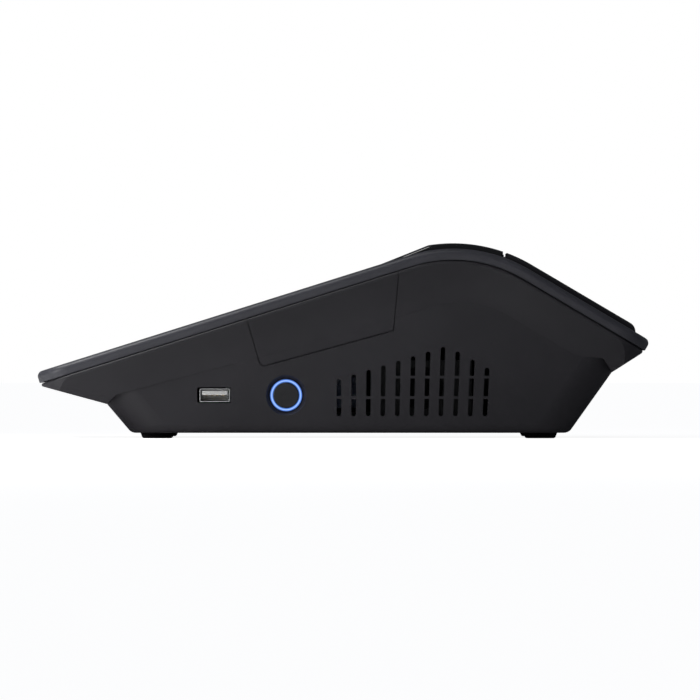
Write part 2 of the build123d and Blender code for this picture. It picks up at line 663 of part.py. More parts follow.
with BuildPart() as lid_hinge_pin:
    with Locations(Location((printer_x, pin_y, pin_z), (0, 90, 0))):
        Cylinder(hinge_pin_radius, bay_width + 6)

# release button with its return spring
release_x, release_v = printer_x - lid_width / 2 - 12, -40
with BuildPart() as release_button:
    with BuildSketch(rear_plane.offset(-3)):
        with Locations((release_x, release_v)):
            RectangleRounded(12, 18, 3)
    extrude(amount=4.2)
    fillet(release_button.faces().sort_by(Axis.Z)[-1].edges(), 0.8)
    with BuildSketch(rear_plane.offset(-3)):
        with Locations((release_x, release_v)):
            RectangleRounded(14.6, 20.6, 3.5)
    extrude(amount=-1.2)
    with BuildSketch(rear_plane.offset(-4.2)):
        with Locations((release_x, release_v)):
            Circle(2)
    extrude(amount=-9)


def coils(places, coil_radius, wire_radius, length, turns):
    """Compression springs along the +Z of each place."""
    with BuildPart() as one:
        with BuildLine() as path:
            Helix(length / turns, length, coil_radius)
        with BuildSketch(Plane(origin=path.line @ 0, z_dir=path.line % 0)):
            Circle(wire_radius)
        sweep(is_frenet=True)
    with BuildPart() as group:
        for place in places:
            add(place * one.part)
    return group


release_spring = coils([rear_plane.location * Location((release_x, release_v, -14.4))], 3.2, 0.3, 9.6, 6)
with BuildPart() as release_guide:
    with BuildSketch(rear_plane.offset(-14.8)):
        with Locations((release_x, release_v)):
            RectangleRounded(17.6, 21, 3)
            Circle(2.4, mode=Mode.SUBTRACT)
    extrude(amount=-1.2)
    for side in (-1, 1):
        with BuildSketch(rear_plane.offset(-wall - 0.05)):
            with Locations((release_x + side * 8.2, release_v)):
                Rectangle(1.2, 20)
        extrude(amount=-(14.75 + 1.2 - wall))

# ---------------------------------------------------------------- gears
def gear(y, z, teeth, phase, x_from, width, bore):
    """Spur gear with its axis along X; phase is the angle of one tooth, from +Y towards +Z."""
    pressure = radians(20)
    pitch = gear_module * teeth / 2
    base, tip, root = pitch * cos(pressure), pitch + 0.9 * gear_module, pitch - 1.2 * gear_module
    half = pi / (2 * teeth) - 0.03 / pitch + tan(pressure) - pressure
    flank = []
    for k in range(4):
        r = max(base, root) + (tip - max(base, root)) * k / 3
        roll = acos(min(1, base / r))
        flank.append((r, half - (tan(roll) - roll)))
    flank = [(root, flank[0][1])] + flank if root < base else flank
    points = []
    for n in range(teeth):
        centre = radians(phase) + 2 * pi * n / teeth
        points += [(y + r * cos(centre - t), z + r * sin(centre - t)) for r, t in flank]
        points += [(y + r * cos(centre + t), z + r * sin(centre + t)) for r, t in reversed(flank)]
    with BuildPart() as wheel:
        with BuildSketch(Plane.YZ.offset(x_from)):
            with BuildLine():
                Polyline(*points, close=True)
            make_face()
            with Locations((y, z)):
                Circle(bore, mode=Mode.SUBTRACT)
        extrude(amount=width)
    return wheel


platen_pitch, idler_pitch, pinion_pitch = (gear_module * n / 2
                                           for n in (platen_teeth, idler_teeth, pinion_teeth))
swing = hypot(platen_y - pin_y, platen_z - pin_z)
lift = ((platen_z - pin_z) / swing, (pin_y - platen_y) / swing)   # the platen leaves this way
idler_y = platen_y - lift[0] * (platen_pitch + idler_pitch)
idler_z = platen_z - lift[1] * (platen_pitch + idler_pitch)
motor_angle = radians(183)
motor_y = idler_y + cos(motor_angle) * (idler_pitch + pinion_pitch)
motor_z = idler_z + sin(motor_angle) * (idler_pitch + pinion_pitch)
to_idler = degrees(atan2(idler_z - platen_z, idler_y - platen_y))
idler_phase = to_idler + 180 + 180 / idler_teeth
lag = degrees(motor_angle) - idler_phase
pinion_phase = degrees(motor_angle) + 180 + lag * idler_teeth / pinion_teeth + 180 / pinion_teeth

frame_right = printer_x + 43.7
gear_x = frame_right + 0.5
platen_gear = gear(platen_y, platen_z, platen_teeth, to_idler, gear_x, 4, shaft_radius)
idler_gear = gear(idler_y, idler_z, idler_teeth, idler_phase, gear_x, 4, 1.5 + running_gap)
motor_pinion = gear(motor_y, motor_z, pinion_teeth, pinion_phase, gear_x, 4, 1.0)


def rod(y, z, radius, x_from, x_to):
    with BuildPart() as bar:
        with Locations(Location((x_from, y, z), (0, 90, 0))):
            Cylinder(radius, x_to - x_from, align=MIN)
    return bar


def tube(y, z, radius, bore, x_from, x_to):
    with BuildPart() as ring:
        with Locations(Location((x_from, y, z), (0, 90, 0))):
            Cylinder(radius, x_to - x_from, align=MIN)
            Cylinder(bore, x_to - x_from, align=MIN, mode=Mode.SUBTRACT)
    return ring


platen_shaft = rod(platen_y, platen_z, shaft_radius, shaft_from, shaft_to)
platen_roller = tube(platen_y, platen_z, platen_radius, shaft_radius, printer_x - 40.1, printer_x + 40.1)
with BuildPart() as platen_bushes:
    for side in (-1, 1):
        with Locations(Location((printer_x + side * (lid_width / 2 - 1), platen_y, platen_z), (0, 90, 0))):
            Cylinder(3, 2)
            Cylinder(shaft_radius + running_gap, 2, mode=Mode.SUBTRACT)
idler_pin = rod(idler_y, idler_z, 1.5, frame_right - 1.2, gear_x + 4.6)
motor_shaft = rod(motor_y, motor_z, 1.0, frame_right - 12, gear_x + 4.2)
with BuildPart() as stepper_motor:
    with Locations(Location((frame_right - 1.25, motor_y, motor_z), (0, -90, 0))):
        Cylinder(10, 15, align=MIN)
    fillet(stepper_motor.faces().sort_by(Axis.X)[0].edges(), 1)
    with BuildSketch(Plane.YZ.offset(frame_right - 2.05)):
        with Locations((motor_y, motor_z)):
            SlotOverall(31, 7, rotation=35)
    extrude(amount=0.8)
    with Locations(Location((frame_right, motor_y, motor_z), (0, -90, 0))):
        Cylinder(1.0 + running_gap, 12.5, align=MIN, mode=Mode.SUBTRACT)

# ---------------------------------------------------------------- printer frame and paper
with BuildPart() as printer_frame:
    for x in (printer_x - 43.7, printer_x + 42.5):
        with BuildSketch(Plane.YZ.offset(x)):
            with BuildLine():
                Polyline((platen_y - 34, deck_z), (platen_y - 12.5, deck_z), (platen_y + 5.5, platen_z - 8),
                         (platen_y + 5.5, platen_z - 0.8), (platen_y + 2, platen_z + 1),
                         (platen_y - 5, platen_z + 1), (platen_y - 6, platen_z + 3),
                         (platen_y - 12, platen_z + 3), (platen_y - 34, platen_z - 5), close=True)
            make_face()
            # open notch the platen shaft drops into
            with Locations(Location((platen_y, platen_z, 0), (0, 0, degrees(atan2(lift[1], lift[0]))))):
                Circle(2.3, mode=Mode.SUBTRACT)
                with Locations((8, 0)):
                    Rectangle(16, 4.6, mode=Mode.SUBTRACT)
        extrude(amount=1.2)
    with Locations((printer_x, platen_y - 34, deck_z)):
        Box(87.4, 17, 1.2, align=(Align.CENTER, Align.MIN, Align.MIN))
    with Locations((printer_x, platen_y - 17, platen_z - 5.2)):
        Box(87.4, 1.2, 7.5, align=(Align.CENTER, Align.MIN, Align.MIN))
    with Locations((printer_x - 8.5, platen_y - 17, platen_z - 13)):
        Box(70.4, 1.2, 8, align=(Align.CENTER, Align.MIN, Align.MIN))
    with Locations(Location((frame_right + 1, motor_y, motor_z), (0, -90, 0))):
        Cylinder(3, 3, align=MIN, mode=Mode.SUBTRACT)
    with Locations(Location((frame_right + 1, idler_y, idler_z), (0, -90, 0))):
        Cylinder(1.5, 3, align=MIN, mode=Mode.SUBTRACT)
    for x, y in deck_posts:
        with Locations((x, y, deck_z)):
            Cylinder(1.5, 3, mode=Mode.SUBTRACT)

head_face_y = platen_y - platen_radius - 0.3
with BuildPart() as print_head:
    with Locations((printer_x, head_face_y, platen_z - 5)):
        Box(82, 1, 8.2, align=(Align.CENTER, Align.MAX, Align.MIN))
    with Locations((printer_x, head_face_y - 1, platen_z - 9.5)):
        Box(70, 0.9, 5.2, align=(Align.CENTER, Align.MIN, Align.MIN))
with BuildPart() as head_heatsink:
    with Locations((printer_x, head_face_y - 1.05, platen_z - 10)):
        Box(84, 2.6, 13, align=(Align.CENTER, Align.MAX, Align.MIN))
    for x in (-24, 24):
        with Locations(Location((printer_x + x, head_face_y - 3.65, platen_z - 5), (90, 0, 0))):
            Cylinder(1.6, 2, align=MIN)
spring_from = platen_y - 17 + 1.25 + 0.35
head_springs = coils([Location((printer_x + x, spring_from, platen_z - 5), (-90, 0, 0)) for x in (-24, 24)],
                     2.5, 0.3, head_face_y - 3.65 - spring_from - 0.4, 5)

roll_y, roll_floor = platen_y + 8, 7.5
bucket_radius = roll_radius + 1.5
bucket_z = roll_floor + bucket_radius
roll_z = roll_floor + roll_radius + 0.3
with BuildPart() as paper_bucket:
    with BuildSketch(Plane.YZ.offset(printer_x)):
        with Locations((roll_y, bucket_z)):
            Circle(bucket_radius + 1.6)
        with Locations((roll_y, bucket_z + 30)):
            Rectangle(90, 34, mode=Mode.SUBTRACT)
        with Locations((roll_y + bucket_radius + 0.8, bucket_z + 7.5)):
            Rectangle(1.6, 15)
        with Locations((platen_y - 34, deck_z - 1.7)):
            Rectangle(roll_y - platen_y + 18, 1.6, align=(Align.MIN, Align.MIN))
        with Locations((platen_y - 34, 5.2)):
            Rectangle(1.6, deck_z - 5.4, align=(Align.MIN, Align.MIN))
        with Locations((roll_y, bucket_z)):
            Circle(bucket_radius, mode=Mode.SUBTRACT)
    extrude(amount=42, both=True)
    for side in (-1, 1):
        with BuildSketch(Plane.YZ.offset(printer_x + side * 41.2)):
            with Locations((roll_y, bucket_z)):
                Circle(bucket_radius + 1)
            with Locations((roll_y, bucket_z + 29)):
                Rectangle(90, 30, mode=Mode.SUBTRACT)
        extrude(amount=0.8, both=True)
    for x, y in deck_posts:
        with Locations((x, y, deck_z)):
            Cylinder(1.5, 4, mode=Mode.SUBTRACT)
roll_core = tube(roll_y, roll_z, 8.5, 6.0, printer_x - paper_width / 2, printer_x + paper_width / 2)
paper_roll = tube(roll_y, roll_z, roll_radius, 8.5, printer_x - paper_width / 2,
                  printer_x + paper_width / 2)

# ---------------------------------------------------------------- boards and sockets
board_rear = io_wall_y - 2.4
with BuildPart() as main_board:
    with BuildSketch(Plane.XY.offset(board_top_z - 1.6)):
        with Locations(((-108 + 14) / 2, (board_rear - 60) / 2)):
            RectangleRounded(122, board_rear + 60, 2)
        with Locations(*board_places):
            Circle(1.5, mode=Mode.SUBTRACT)
    extrude(amount=1.6)
    with Locations((-50, -22, board_top_z)):
        Box(24, 24, 1.8, align=MIN)
    for x, y in ((-88, 30), (-80, 55), (-6, -30), (-92, -40)):
        with Locations((x, y, board_top_z)):
            Box(10, 10, 1.4, align=MIN)
with BuildPart() as heat_sink:
    with Locations((-50, -22, board_top_z + 1.85)):
        Box(60, 60, 3, align=MIN)
        with GridLocations(4.8, 0, 12, 1):
            with Locations((0, 0, 3)):
                Box(1.4, 60, 11, align=MIN)
with BuildPart() as memory_module:
    with Locations((-30, 31.2, board_top_z + 4)):
        Box(67.6, 30, 1.2, align=MIN)
        with GridLocations(15, 0, 4, 1):
            with Locations((0, 3, 1.2)):
                Box(11, 13, 1, align=MIN)
with BuildPart() as memory_socket:
    with Locations((-30, 16.1, board_top_z + 0.05)):
        Box(72, 6, 5.6, align=(Align.CENTER, Align.MAX, Align.MIN))
    for x in (-1, 1):
        with Locations((-30 + x * 35.5, 15, board_top_z + 0.05)):
            Box(2.4, 26, 4.4, align=(Align.CENTER, Align.MIN, Align.MIN))
with BuildPart() as coin_cell:
    with Locations((-92.5, -8, board_top_z + 1.4)):
        Cylinder(10, 3.2, align=MIN)
    fillet(coin_cell.faces().sort_by(Axis.Z)[-1].edges(), 0.5)
with BuildPart() as cell_holder:
    with Locations((-92.5, -8, board_top_z + 0.05)):
        Cylinder(11.4, 3.6, align=MIN)
        with Locations((0, 0, 1.3)):
            Cylinder(10.05, 4, align=MIN, mode=Mode.SUBTRACT)


def socket_box(name):
    """Plain socket body standing on the board, its face just inside the recess wall."""
    x, width, height, depth = sockets[name]
    return Location((x, io_wall_y - 0.3, board_top_z + 0.05)), width, height, depth


to_front = (Align.CENTER, Align.MAX, Align.MIN)
place, width, height, depth = socket_box("dc_jack")
with BuildPart() as dc_jack:
    with Locations(place):
        Box(width, depth, height, align=to_front)
        with Locations(Location((0, 0.1, height - 4.6), (90, 0, 0))):
            Cylinder(3.2, 10, align=MIN, mode=Mode.SUBTRACT)
            Cylinder(1.0, 10, align=MIN)
place, width, height, depth = socket_box("lan_jack")
with BuildPart() as lan_jack:
    with Locations(place):
        Box(width, depth, height, align=to_front)
        with Locations((0, 0.1, 3.2)):
            Box(11.9, 13, 6.8, align=to_front, mode=Mode.SUBTRACT)
        with Locations((0, 0.1, 1.4)):
            Box(6.2, 13, 2, align=to_front, mode=Mode.SUBTRACT)
place, width, height, depth = socket_box("drawer_jack")
with BuildPart() as drawer_jack:
    with Locations(place):
        Box(width, depth, height, align=to_front)
        with Locations((0, 0.1, 3)):
            Box(9.7, 12, 6.6, align=to_front, mode=Mode.SUBTRACT)
        with Locations((0, 0.1, 1.4)):
            Box(5, 12, 2, align=to_front, mode=Mode.SUBTRACT)
place, width, height, depth = socket_box("usb_stack")
with BuildPart() as usb_stack:
    with Locations(place):
        Box(width, depth, height, align=to_front)
        for level in (1.4, 8.9):
            with Locations((0, 0.1, level)):
                Box(12.5, 12, 5.1, align=to_front, mode=Mode.SUBTRACT)
            with Locations((0, -0.4, level + 2.7)):
                Box(11.1, 12, 1.8, align=to_front)

# side socket, switch and board behind the right wall
usb_face = wall_x - 0.5
with BuildPart() as side_board:
    with Locations((wall_x - 18.8, (usb_y + button_y) / 2, side_board_top)):
        Box(20, 60, 1.6, align=MAX)
    for x, y in side_board_posts:
        with Locations((x, y, side_board_top)):
            Cylinder(1.5, 5, mode=Mode.SUBTRACT)
with BuildPart() as usb_shell:
    with BuildSketch(Plane.YZ.offset(usb_face)):
        with Locations((usb_y, port_z)):
            RectangleRounded(usb_width, usb_height, 0.7)
    extrude(amount=-usb_depth)
    with BuildSketch(Plane.YZ.offset(usb_face)):
        with Locations((usb_y, port_z)):
            RectangleRounded(usb_width - 0.6, usb_height - 0.6, 0.45)
    extrude(amount=-(usb_depth - 0.5), mode=Mode.SUBTRACT)
with BuildPart() as usb_tongue:
    with Locations((usb_face - 0.6, usb_y, port_z + 1.05)):
        Box(9.2, 11.1, 1.84, align=(Align.MAX, Align.CENTER, Align.CENTER))
    with Locations((usb_face - 9.6, usb_y, port_z)):
        Box(3.8, usb_width - 1.2, usb_height - 1.2, align=(Align.MAX, Align.CENTER, Align.CENTER))
with BuildPart() as usb_contacts:
    for y in (-3.5, -1, 1, 3.5):
        with Locations((usb_face - 1.4, usb_y + y, port_z + 0.12)):
            Box(8.1, 1, 0.22, align=(Align.MAX, Align.CENTER, Align.MAX))
switch_x = wall_x - 12.5
with BuildPart() as power_switch:
    with Locations((switch_x - 3.5, button_y, port_z)):
        Box(3.5, 6.2, 5.4, align=(Align.MIN, Align.CENTER, Align.CENTER))
        Box(3, 7.6, port_z - side_board_top - 0.05, align=(Align.MIN, Align.CENTER, Align.MAX))
    with Locations(Location((switch_x, button_y, port_z), (0, 90, 0))):
        Cylinder(1.7, 1.2, align=MIN)
with BuildPart() as power_button:
    with Locations(Location((wall_x - 7.4, button_y, port_z), (0, 90, 0))):
        Cylinder(button_radius, 6.6, align=MIN)
        Cylinder(button_radius - 1.2, 5.2, align=MIN, mode=Mode.SUBTRACT)
        Cylinder(1.6, 5.4, align=MIN)
        with Locations((0, 0, -2.4)):
            Cylinder(1.6, 3, align=MIN)
    fillet(power_button.faces().sort_by(Axis.X)[-1].edges(), 0.4)
    # engraved power mark
    with BuildSketch(Plane.YZ.offset(wall_x - 0.8)):
        with Locations((button_y, port_z)):
            Circle(2.6)
            Circle(2.15, mode=Mode.SUBTRACT)
            with Locations((0, 2)):
                Rectangle(1.9, 2, mode=Mode.SUBTRACT)
                Rectangle(0.45, 2.6)
    extrude(amount=-0.2, mode=Mode.SUBTRACT)
with BuildPart() as led_ring:
    with Locations(Location((wall_x - 6.2, button_y, port_z), (0, 90, 0))):
        Cylinder(ring_outer, 4.9, align=MIN)
        Cylinder(ring_outer + 1, 1.1, align=MIN)
        Cylinder(ring_inner, 5, align=MIN, mode=Mode.SUBTRACT)

speaker_y, speaker_z = 34.0, 22.0
with BuildPart() as speaker_frame:
    with Locations((wall_x - wall - 1.2, speaker_y, speaker_z)):
        Box(7, 44, 24, align=(Align.MAX, Align.CENTER, Align.CENTER))
    with Locations(Location((wall_x - wall - 1.2, speaker_y, speaker_z), (0, -90, 0))):
        Cylinder(9.6, 5, align=MIN, mode=Mode.SUBTRACT)
with BuildPart() as speaker_cone:
    with Locations(Location((wall_x - wall - 1.9, speaker_y, speaker_z), (0, -90, 0))):
        Cone(9.4, 5, 3, align=MIN)
        with Locations((0, 0, -0.1)):
            Cone(8.8, 4.4, 2.6, align=MIN, mode=Mode.SUBTRACT)

# ---------------------------------------------------------------- export
nodes = {
    "lower_housing": lower_housing, "upper_housing": upper_housing,
    "side_access_cover": side_access_cover, "rubber_feet": rubber_feet,
    "housing_screws": housing_screws, "board_screws": board_screws,
    "frame_screws": frame_screws, "panel_screws": panel_screws,
    "touch_glass": touch_glass, "lcd_module": lcd_module, "display_frame": display_frame,
    "customer_window": customer_window, "customer_display": customer_display,
    "customer_board": customer_board,
    "crown_cover": crown_cover, "tear_bar": tear_bar, "printer_lid": printer_lid,
    "lid_hinge_pin": lid_hinge_pin, "release_button": release_button,
    "release_spring": release_spring, "release_guide": release_guide,
    "platen_gear": platen_gear, "idler_gear": idler_gear, "motor_pinion": motor_pinion,
    "platen_shaft": platen_shaft, "platen_roller": platen_roller, "platen_bushes": platen_bushes,
    "idler_pin": idler_pin, "motor_shaft": motor_shaft, "stepper_motor": stepper_motor,
    "printer_frame": printer_frame, "print_head": print_head, "head_heatsink": head_heatsink,
    "head_springs": head_springs, "paper_bucket": paper_bucket, "paper_roll": paper_roll,
    "roll_core": roll_core,
    "main_board": main_board, "heat_sink": heat_sink, "memory_module": memory_module,
    "memory_socket": memory_socket, "coin_cell": coin_cell, "cell_holder": cell_holder,
    "dc_jack": dc_jack, "lan_jack": lan_jack, "drawer_jack": drawer_jack, "usb_stack": usb_stack,
    "side_board": side_board, "usb_shell": usb_shell, "usb_tongue": usb_tongue,
    "usb_contacts": usb_contacts, "power_switch": power_switch, "power_button": power_button,
    "led_ring": led_ring, "speaker_frame": speaker_frame, "speaker_cone": speaker_cone,
}
for label, node in nodes.items():
    node.part.label = label
    export_step(node.part, f"parts/{label}.step")
print(f"{len(nodes)} nodes; platen {platen_y:.2f},{platen_z:.2f} pin {pin_y:.2f},{pin_z:.2f} "
      f"idler {idler_y:.2f},{idler_z:.2f} motor {motor_y:.2f},{motor_z:.2f} "
      f"roll {roll_y:.2f},{roll_z:.2f}")
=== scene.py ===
"""Sales terminal: moulded dark grey case, glass touch screen, receipt printer, lit power button."""
import json
import math

import bpy
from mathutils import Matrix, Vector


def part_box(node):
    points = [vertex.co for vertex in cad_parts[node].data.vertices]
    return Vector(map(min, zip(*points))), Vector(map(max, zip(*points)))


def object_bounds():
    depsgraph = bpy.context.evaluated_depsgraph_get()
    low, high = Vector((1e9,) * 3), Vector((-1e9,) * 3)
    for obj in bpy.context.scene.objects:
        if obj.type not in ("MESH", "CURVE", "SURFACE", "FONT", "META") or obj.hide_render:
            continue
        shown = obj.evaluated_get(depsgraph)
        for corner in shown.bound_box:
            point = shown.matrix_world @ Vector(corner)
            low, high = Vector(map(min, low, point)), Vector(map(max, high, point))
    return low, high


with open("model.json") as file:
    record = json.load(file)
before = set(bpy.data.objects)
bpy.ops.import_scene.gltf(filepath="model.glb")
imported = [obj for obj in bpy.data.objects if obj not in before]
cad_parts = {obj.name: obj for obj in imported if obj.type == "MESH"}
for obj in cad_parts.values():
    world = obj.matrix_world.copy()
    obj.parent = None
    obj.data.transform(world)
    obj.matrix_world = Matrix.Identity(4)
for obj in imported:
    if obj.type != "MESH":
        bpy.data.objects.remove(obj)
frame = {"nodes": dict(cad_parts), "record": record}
cad_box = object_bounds()
parts = frame["nodes"]
MM = 0.001

# the slopes of the case, and the light guide round the power button
SCREEN_SLOPE = math.radians(17.45)
REAR_SLOPE = math.radians(30.5)
RING_INNER, RING_OUTER = 5.6 * MM, 7.0 * MM


# ---------------------------------------------------------------- colour and node helpers
def linear(code):
    """sRGB hex to the linear colour the shaders work in."""
    channels = [int(code[i:i + 2], 16) / 255 for i in (1, 3, 5)]
    return (*[c / 12.92 if c <= 0.04045 else ((c + 0.055) / 1.055) ** 2.4 for c in channels], 1.0)


def add_node(tree, kind, values=None, links=None, stops=None, **settings):
    """One shader node with its settings, input values and links; stops are a colour ramp's."""
    made = tree.nodes.new(kind)
    for name, value in settings.items():
        setattr(made, name, value)
    for socket, value in (values or {}).items():
        made.inputs[socket].default_value = value
    for socket, source in (links or {}).items():
        tree.links.new(source, made.inputs[socket])
    if stops:
        band = made.color_ramp.elements
        band.remove(band[1])
        band[0].position, band[0].color = stops[0]
        for position, colour in stops[1:]:
            band.new(position).color = colour
    return made


def finish(name):
    """An empty material, its node tree and its output."""
    material = bpy.data.materials.new(name)
    material.use_nodes = True
    tree = material.node_tree
    tree.nodes.clear()
    return material, tree, tree.nodes.new("ShaderNodeOutputMaterial")


def close_finish(tree, output, shader):
    tree.links.new(shader.outputs[0], output.inputs["Surface"])


def per_metre(millimetres):
    """Noise scale that gives features of this size."""
    return 1.0 / (millimetres * MM)


# ---------------------------------------------------------------- finishes
def spark_eroded_abs(name, dark, light, roughness, grain=0.45, depth=0.03):
    """Injection-moulded ABS with a fine eroded texture: a soft sheen broken up by grain."""
    material, tree, output = finish(name)
    place = add_node(tree, "ShaderNodeTexCoord").outputs["Object"]
    fine = add_node(tree, "ShaderNodeTexNoise",
                    {"Scale": per_metre(grain), "Detail": 3.0, "Roughness": 0.6}, {"Vector": place})
    broad = add_node(tree, "ShaderNodeTexNoise", {"Scale": per_metre(38), "Detail": 2.0},
                     {"Vector": place})
    blend = add_node(tree, "ShaderNodeMath", {1: 0.35}, {0: fine.outputs["Fac"]},
                     operation="MULTIPLY")
    mixed = add_node(tree, "ShaderNodeMath", {1: 0.65, 2: 0.0},
                     {0: broad.outputs["Fac"], 2: blend.outputs[0]}, operation="MULTIPLY_ADD")
    tint = add_node(tree, "ShaderNodeValToRGB", links={"Fac": mixed.outputs[0]},
                    stops=[(0.35, linear(dark)), (0.68, linear(light))])
    gloss = add_node(tree, "ShaderNodeMapRange",
                     {"From Min": 0.3, "From Max": 0.7,
                      "To Min": roughness - 0.05, "To Max": roughness + 0.07},
                     {"Value": fine.outputs["Fac"]})
    bump = add_node(tree, "ShaderNodeBump", {"Strength": 0.5, "Distance": depth * MM},
                    {"Height": fine.outputs["Fac"]})
    shader = add_node(tree, "ShaderNodeBsdfPrincipled", {"IOR": 1.53},
                      {"Base Color": tint.outputs["Color"], "Roughness": gloss.outputs["Result"],
                       "Normal": bump.outputs["Normal"]})
    close_finish(tree, output, shader)
    return material


def polished_abs():
    """Piano-black ABS: mirror gloss with the faint haze of wiping cloths."""
    material, tree, output = finish("polished ABS piano black")
    place = add_node(tree, "ShaderNodeTexCoord").outputs["Object"]
    haze = add_node(tree, "ShaderNodeTexNoise",
                    {"Scale": per_metre(22), "Detail": 5.0, "Roughness": 0.7}, {"Vector": place})
    gloss = add_node(tree, "ShaderNodeMapRange", {"From Min": 0.35, "From Max": 0.7, "To Min": 0.05,
                                                  "To Max": 0.13}, {"Value": haze.outputs["Fac"]})
    flow = add_node(tree, "ShaderNodeBump", {"Strength": 0.12, "Distance": 0.05 * MM},
                    {"Height": haze.outputs["Fac"]})
    shader = add_node(tree, "ShaderNodeBsdfPrincipled",
                      {"Base Color": linear("#0c0c0d"), "IOR": 1.55,
                       "Coat Weight": 0.6, "Coat Roughness": 0.03},
                      {"Roughness": gloss.outputs["Result"], "Normal": flow.outputs["Normal"]})
    close_finish(tree, output, shader)
    return material


def moulded_rubber():
    """Matt black rubber, dusty where it has been handled."""
    material, tree, output = finish("moulded rubber")
    place = add_node(tree, "ShaderNodeTexCoord").outputs["Object"]
    dust = add_node(tree, "ShaderNodeTexNoise", {"Scale": per_metre(1.1), "Detail": 6.0},
                    {"Vector": place})
    tint = add_node(tree, "ShaderNodeValToRGB", links={"Fac": dust.outputs["Fac"]},
                    stops=[(0.4, linear("#1b1a1c")), (0.75, linear("#2b2a2c"))])
    bump = add_node(tree, "ShaderNodeBump", {"Strength": 0.35, "Distance": 0.06 * MM},
                    {"Height": dust.outputs["Fac"]})
    shader = add_node(tree, "ShaderNodeBsdfPrincipled", {"Roughness": 0.82, "IOR": 1.52},
                      {"Base Color": tint.outputs["Color"], "Normal": bump.outputs["Normal"]})
    close_finish(tree, output, shader)
    return material


def metal(name, colour, worn, roughness, grain, stretch=(1, 1, 1), depth=0.01):
    """Bare or plated metal; stretch draws the grain out along its brushing."""
    material, tree, output = finish(name)
    place = add_node(tree, "ShaderNodeTexCoord").outputs["Object"]
    drawn = add_node(tree, "ShaderNodeMapping", {"Scale": stretch}, {"Vector": place})
    lines = add_node(tree, "ShaderNodeTexNoise",
                     {"Scale": per_metre(grain), "Detail": 4.0, "Roughness": 0.65},
                     {"Vector": drawn.outputs["Vector"]})
    tint = add_node(tree, "ShaderNodeValToRGB", links={"Fac": lines.outputs["Fac"]},
                    stops=[(0.3, linear(worn)), (0.6, linear(colour))])
    gloss = add_node(tree, "ShaderNodeMapRange",
                     {"From Min": 0.3, "From Max": 0.7,
                      "To Min": roughness * 0.7, "To Max": roughness * 1.3},
                     {"Value": lines.outputs["Fac"]})
    bump = add_node(tree, "ShaderNodeBump", {"Strength": 0.25, "Distance": depth * MM},
                    {"Height": lines.outputs["Fac"]})
    shader = add_node(tree, "ShaderNodeBsdfPrincipled", {"Metallic": 1.0},
                      {"Base Color": tint.outputs["Color"], "Roughness": gloss.outputs["Result"],
                       "Normal": bump.outputs["Normal"]})
    close_finish(tree, output, shader)
    return material


def socket_metal_painted_shade(name, mouth, centre, size):
    """Nickel-plated socket shell, bright at its mouth, with painted shade darkening it inside the
    opening.

    mouth is the X of its open end, centre and size the (Y, Z) middle and width of the opening.
    """
    material, tree, output = finish(name)
    place = add_node(tree, "ShaderNodeTexCoord").outputs["Object"]
    moved = add_node(tree, "ShaderNodeVectorMath", {1: (mouth, *centre)}, {0: place},
                     operation="SUBTRACT")
    sides = add_node(tree, "ShaderNodeVectorMath", links={0: moved.outputs[0]},
                     operation="ABSOLUTE")
    away = add_node(tree, "ShaderNodeSeparateXYZ", links={0: sides.outputs[0]})
    within = [add_node(tree, "ShaderNodeMath", {1: half / 2 + 0.04 * MM}, {0: away.outputs[axis]},
                       operation="LESS_THAN") for axis, half in ((1, size[0]), (2, size[1]))]
    both = add_node(tree, "ShaderNodeMath",
                    links={0: within[0].outputs[0], 1: within[1].outputs[0]}, operation="MULTIPLY")
    # painted shade: inside the opening the plating is painted darker from 0.15 mm to 1.2 mm behind
    # the mouth
    depth = add_node(tree, "ShaderNodeMapRange", {"From Min": 0.15 * MM, "From Max": 1.2 * MM},
                     {"Value": away.outputs[0]})
    painted_shade = add_node(tree, "ShaderNodeMath", links={0: both.outputs[0], 1: depth.outputs["Result"]},
                     operation="MULTIPLY")
    plating = add_node(tree, "ShaderNodeTexNoise", {"Scale": per_metre(1.2), "Detail": 4.0},
                       {"Vector": place})
    bright = add_node(tree, "ShaderNodeValToRGB", links={"Fac": plating.outputs["Fac"]},
                      stops=[(0.3, linear("#e6e6e7")), (0.6, linear("#fafafa"))])
    # the near-black colour is the painted shade inside the socket
    tint = add_node(tree, "ShaderNodeMix", {7: linear("#070708")},
                    {"Factor": painted_shade.outputs[0], 6: bright.outputs["Color"]}, data_type="RGBA")
    shader = add_node(tree, "ShaderNodeBsdfPrincipled", {"Metallic": 0.6, "Roughness": 0.45},
                      {"Base Color": tint.outputs[2]})
    close_finish(tree, output, shader)
    return material


def plain_polymer(name, dark, light, roughness, spot, subsurface=0.0):
    """Unpainted moulding: acetal, nylon or polyester, with faint flow mottling."""
    material, tree, output = finish(name)
    place = add_node(tree, "ShaderNodeTexCoord").outputs["Object"]
    mottle = add_node(tree, "ShaderNodeTexNoise", {"Scale": per_metre(spot), "Detail": 4.0},
                      {"Vector": place})
    tint = add_node(tree, "ShaderNodeValToRGB", links={"Fac": mottle.outputs["Fac"]},
                    stops=[(0.35, linear(dark)), (0.65, linear(light))])
    bump = add_node(tree, "ShaderNodeBump", {"Strength": 0.2, "Distance": 0.02 * MM},
                    {"Height": mottle.outputs["Fac"]})
    shader = add_node(tree, "ShaderNodeBsdfPrincipled",
                      {"Roughness": roughness, "IOR": 1.48, "Subsurface Weight": subsurface,
                       "Subsurface Radius": (0.001, 0.0009, 0.0008)},
                      {"Base Color": tint.outputs["Color"], "Normal": bump.outputs["Normal"]})
    close_finish(tree, output, shader)
    return material


